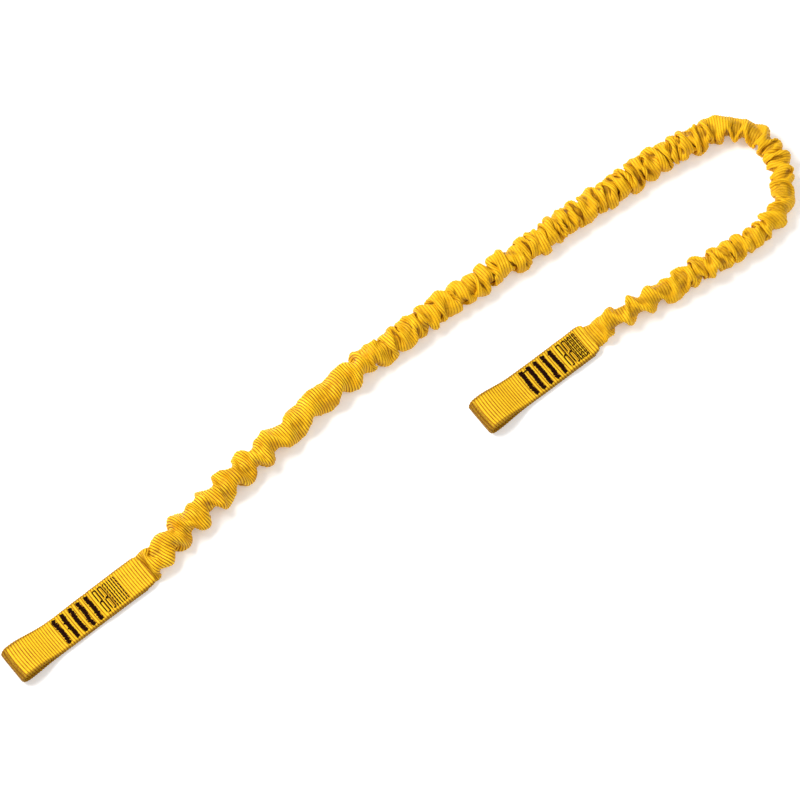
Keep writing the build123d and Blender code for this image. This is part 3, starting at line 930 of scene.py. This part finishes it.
def fine_sleeve(line, rings, along_web, home):
    """Finer rings, locked to the ribs, with the ribs raised, their places along the web and along the
    line, how much of the ribs' painted highlight and shade shows, and the creases' painted shade."""
    ribs = int(round(along_web[-1] / RIB_PITCH_MM))
    fine_web = np.arange(ribs * RIB_STEPS + 1) * (RIB_PITCH_MM / RIB_STEPS)
    fine = smooth_rows(rings, np.interp(fine_web, along_web, np.arange(len(along_web))), False)
    turns = np.arange(AROUND * FINE_AROUND) / FINE_AROUND
    fine = np.moveaxis(smooth_rows(np.moveaxis(fine, 1, 0), turns, True), 0, 1)
    fine_home = np.interp(fine_web, along_web, home)
    normals = outward(fine)
    at = line.index(fine_home)
    drift = ((fine - line.point[at][:, None]) * line.along[at][:, None]).sum(-1)
    here = line.index(fine_home[:, None] + drift)
    away = fine - line.point[here]
    radius = np.sqrt((away * line.side[here]).sum(-1) ** 2 + (away * line.up[here]).sum(-1) ** 2)

    bowed = (np.roll(fine, HOLLOW_ROWS, 0) + np.roll(fine, -HOLLOW_ROWS, 0)) / 2 - fine
    hollow = (bowed * normals).sum(-1)
    hollow[:HOLLOW_ROWS + 1] = hollow[-HOLLOW_ROWS - 1:] = 0
    painted_shade = (np.clip(CREASE_RADIUS_MM - radius, 0, 1) * CREASE_SHADE
              + np.clip((hollow - CREASE_HOLLOW_MM) * 5.0, 0, 0.95))
    from_end = np.minimum(fine_home, line.length - fine_home)[:, None]
    # none near the bands; there the web gets painted shade from the bands' mouths instead
    painted_shade *= np.clip((from_end - 8) / 12, 0, 1)
    painted_shade += CREASE_SHADE * np.clip(1.3 - from_end / 8, 0, 1)

    count = len(fine_web)
    ridge = rib(fine_web / RIB_PITCH_MM)[:, None]
    vary = np.clip(0.85 + 0.3 * web_noise(count, SEED + 1, RIB_CELL_ROWS), 0.35, 1.2)
    wrinkle = (np.clip(web_noise(count, SEED + 2, WRINKLE_CELL_ROWS), -1.5, 1.5)
               * np.clip(from_end / 10, 0, 1))
    shown = 0.8 + (vary * ridge - 0.3) * knots(RIB_SHOWS, fine_home)[:, None]
    # painted shade also in the wrinkles' hollows
    painted_shade = (np.clip(painted_shade + 0.10 * np.clip(-wrinkle, 0, 2), 0, 1)
              * knots(CREASE_SHOWS, fine_home)[:, None])
    fine += normals * (RIB_HEIGHT_MM * vary * ridge + WRINKLE_MM * wrinkle)[..., None]
    fine[..., 2] = np.maximum(fine[..., 2], SLEEVE_FLOOR_MM)
    return fine, fine_web, fine_home, shown, painted_shade


# ---- build: camera and cords first
add_camera()
line = Centreline(ROUTE)
fine, fine_web, fine_home, shown, painted_shade = fine_sleeve(line, *gather(line))
web = web_material()
thread = thread_material()

# The sleeve's eight pieces, each from one body to the next over their joint: its name, the jackets that
# it stands for, and which absorber and elastic node the cores inside it stand for
SLEEVE = [("anchor_neck_fabric", ["anchor_neck_jacket"], "long_leg"),
          ("long_leg_fabric", ["long_leg_jacket_near", "long_leg_jacket_far"], None),
          *[(f"bend_fabric_{n}", [f"bend_jacket_{n}"], f"bend_{n}") for n in (1, 2, 3)],
          ("bend_fabric_4", ["short_leg_jacket_far"], "short_leg"),
          ("short_leg_fabric", ["short_leg_jacket_near"], None),
          ("harness_neck_fabric", ["harness_neck_jacket"], None)]
HINGES_MM = [(674.5, -0.5), (686.5, -15.5), (680.0, -56.5), (666.0, -71.5)]
HINGE_HALF = 0.008
hinges = [line.reach_near(*h) for h in HINGES_MM]
# the pieces' ends along the line: at the CAD's cuts, and halfway between the bend's hinges
cuts = [0.0, line.reach_near(140, 3.5), line.reach_near(655, 6.5),
        *[(a + b) / 2 for a, b in zip(hinges, hinges[1:])],
        line.reach_near(644, -78), line.reach_near(512, -65.3), line.length]


def spot(reach):
    return Vector(line.point[line.index(reach)] * MM)


def hinge_zone(hinge):
    """A zone over one of the bend's hinges: its start and its end."""
    forward = Vector(line.along[line.index(hinge)])
    forward.z = 0
    forward.normalize()
    return spot(hinge) - forward * HINGE_HALF, spot(hinge) + forward * HINGE_HALF


# Each piece's zone, as a start and an end point: a neck's lies about its hinge, more of it on the
# loop's side, and a leg's is nearly all of the leg
anchor_hinge = Vector((0.114, 0.0, 0.006))
harness_hinge = Vector((0.4925, -0.0635, 0.006))
loop_side, sleeve_side = Vector((0.0055, 0, 0)), Vector((0.0025, 0, 0))
zones = [
    (anchor_hinge - loop_side, anchor_hinge + sleeve_side),
    (spot(cuts[1] + 8), spot(cuts[2] - 12)),
    *[hinge_zone(h) for h in hinges],
    (spot(cuts[6] + 6), spot(cuts[7] - 6)),
    (harness_hinge + sleeve_side, harness_hinge - loop_side),
]
first_ring = [int(np.argmin(np.abs(fine_home[::RIB_STEPS] - c))) * RIB_STEPS for c in cuts]
for k, (name, jackets, _) in enumerate(SLEEVE):
    part = slice(first_ring[k], first_ring[k + 1] + 1)
    piece = tube_object(name, fine[part], fine_web[part], WEB_GIRTH_MM,
                        {"rib": shown[part], "painted_shade": painted_shade[part]}, web)
    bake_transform(piece)
    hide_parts(*jackets)

# the absorber's tear web and the elastic inside it, along the same line: the flat tail's half width and
# half height, the round core's radius, points round it and its material
CORES = {
    "absorber": ((10.0, 0.9), 4.2, 24,
                 core_material("absorber_weave", (0.55, 0.53, 0.48, 1), (0.75, 0.73, 0.68, 1), 900.0)),
    "elastic": ((5.0, 0.35), 2.4, 16,
                core_material("elastic_braid", (0.62, 0.55, 0.42, 1), (0.78, 0.71, 0.58, 1), 1200.0)),
}
CORE_STEP_MM = 1.5
for kind, (flat, radius, around, material) in CORES.items():
    for k, (name, _, node) in enumerate(SLEEVE):
        reach = np.linspace(cuts[k], cuts[k + 1], max(8, int((cuts[k + 1] - cuts[k]) / CORE_STEP_MM)))
        at = line.index(reach)
        wide, tall = core_size(line, reach, flat, radius)
        turn = np.linspace(0, 2 * math.pi, around, endpoint=False)
        ply = 1 + 0.03 * np.sin(reach / 0.9)[:, None]
        rows = (line.point[at][:, None]
                + (wide[:, None] * np.cos(turn) * ply)[..., None] * line.side[at][:, None]
                + (tall[:, None] * np.sin(turn) * ply)[..., None] * line.up[at][:, None])
        piece = tube_object(name.replace("fabric", kind), rows, reach, 2 * math.pi * radius, {}, material,
                            caps=k in (0, len(SLEEVE) - 1))
        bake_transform(piece)
        if node:
            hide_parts(f"{node}_{kind}")

# ---- build: loops and stitching
def fasten(piece, body, node):
    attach(piece, body)
    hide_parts(node)


FINE_LOW_MM = FINE_THREAD_MM + UNDER_CLEAR_MM
FINE_HIGH_MM = BAND_TOP_MM + 0.12
for seed, (end, loop) in enumerate(LOOPS.items(), 11):
    body = f"{end}_loop"
    middle = loop["middle"]
    rng = np.random.default_rng(seed)
    fasten(loop_web(end, web, seed), body, f"{end}_loop_web")
    bars, locks, seams = band_positions(loop)
    for number, x in enumerate(bars, 1):
        tack = thread_object(f"{end}_bar_threads_{number}",
                             bar_threads(x, middle, rng, end == "harness" and number == 1),
                             BAR_THREAD_MM, thread)
        fasten(tack, body, f"{end}_bar_tack_{number}")
    # two sewn rows for each seam row in the CAD
    sewn = [x - aside * loop["seam_pitch"] for x in seams for aside in (0.5, 0)]
    lock = thread_object(f"{end}_lock_threads", lock_threads(locks, middle, rng, FINE_LOW_MM, FINE_HIGH_MM),
                         FINE_THREAD_MM, thread)
    seam = thread_object(f"{end}_seam_threads",
                         [t for x in sewn for t in dashes(x, middle, rng, FINE_LOW_MM, FINE_HIGH_MM)],
                         FINE_THREAD_MM, thread)
    fasten(lock, body, f"{end}_lock_stitches")
    fasten(seam, body, f"{end}_seam_stitches")

# ---- carried-over CAD nodes
for name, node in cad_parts.items():
    for kind, (*_, material) in CORES.items():
        if kind in name:
            node.data.materials.clear()
            node.data.materials.append(material)


# ---- floor and light
def add_floor():
    bpy.ops.mesh.primitive_plane_add(size=12, location=(0.35, 0, 0))
    floor = bpy.context.active_object
    floor.name = "floor"
    n = Nodes("pale_floor")
    n.feed(n.shader, {"Base Color": (0.95, 0.95, 0.95, 1), "Emission Color": (1, 1, 1, 1),
                      "Emission Strength": 0.18, "Roughness": 0.9, "Specular IOR Level": 0.1})
    floor.data.materials.append(n.material)


def add_area(name, azimuth, elevation, distance, size, power):
    data = bpy.data.lights.new(name, "AREA")
    data.shape = "SQUARE"
    data.size = size
    data.energy = power
    light = add_object(name, data)
    aim(light, azimuth, elevation, distance)
    light.visible_camera = False


def add_light():
    world = bpy.data.worlds.new("studio")
    world.use_nodes = True
    background = world.node_tree.nodes["Background"]
    background.inputs["Color"].default_value = (1, 1, 1, 1)
    background.inputs["Strength"].default_value = 0.55
    bpy.context.scene.world = world
    add_area("key", -150, 52, 2.2, 1.1, 54)
    add_area("fill", 30, 60, 2.4, 1.6, 10)
    bpy.context.scene.view_settings.view_transform = "Standard"


add_floor()
add_light()
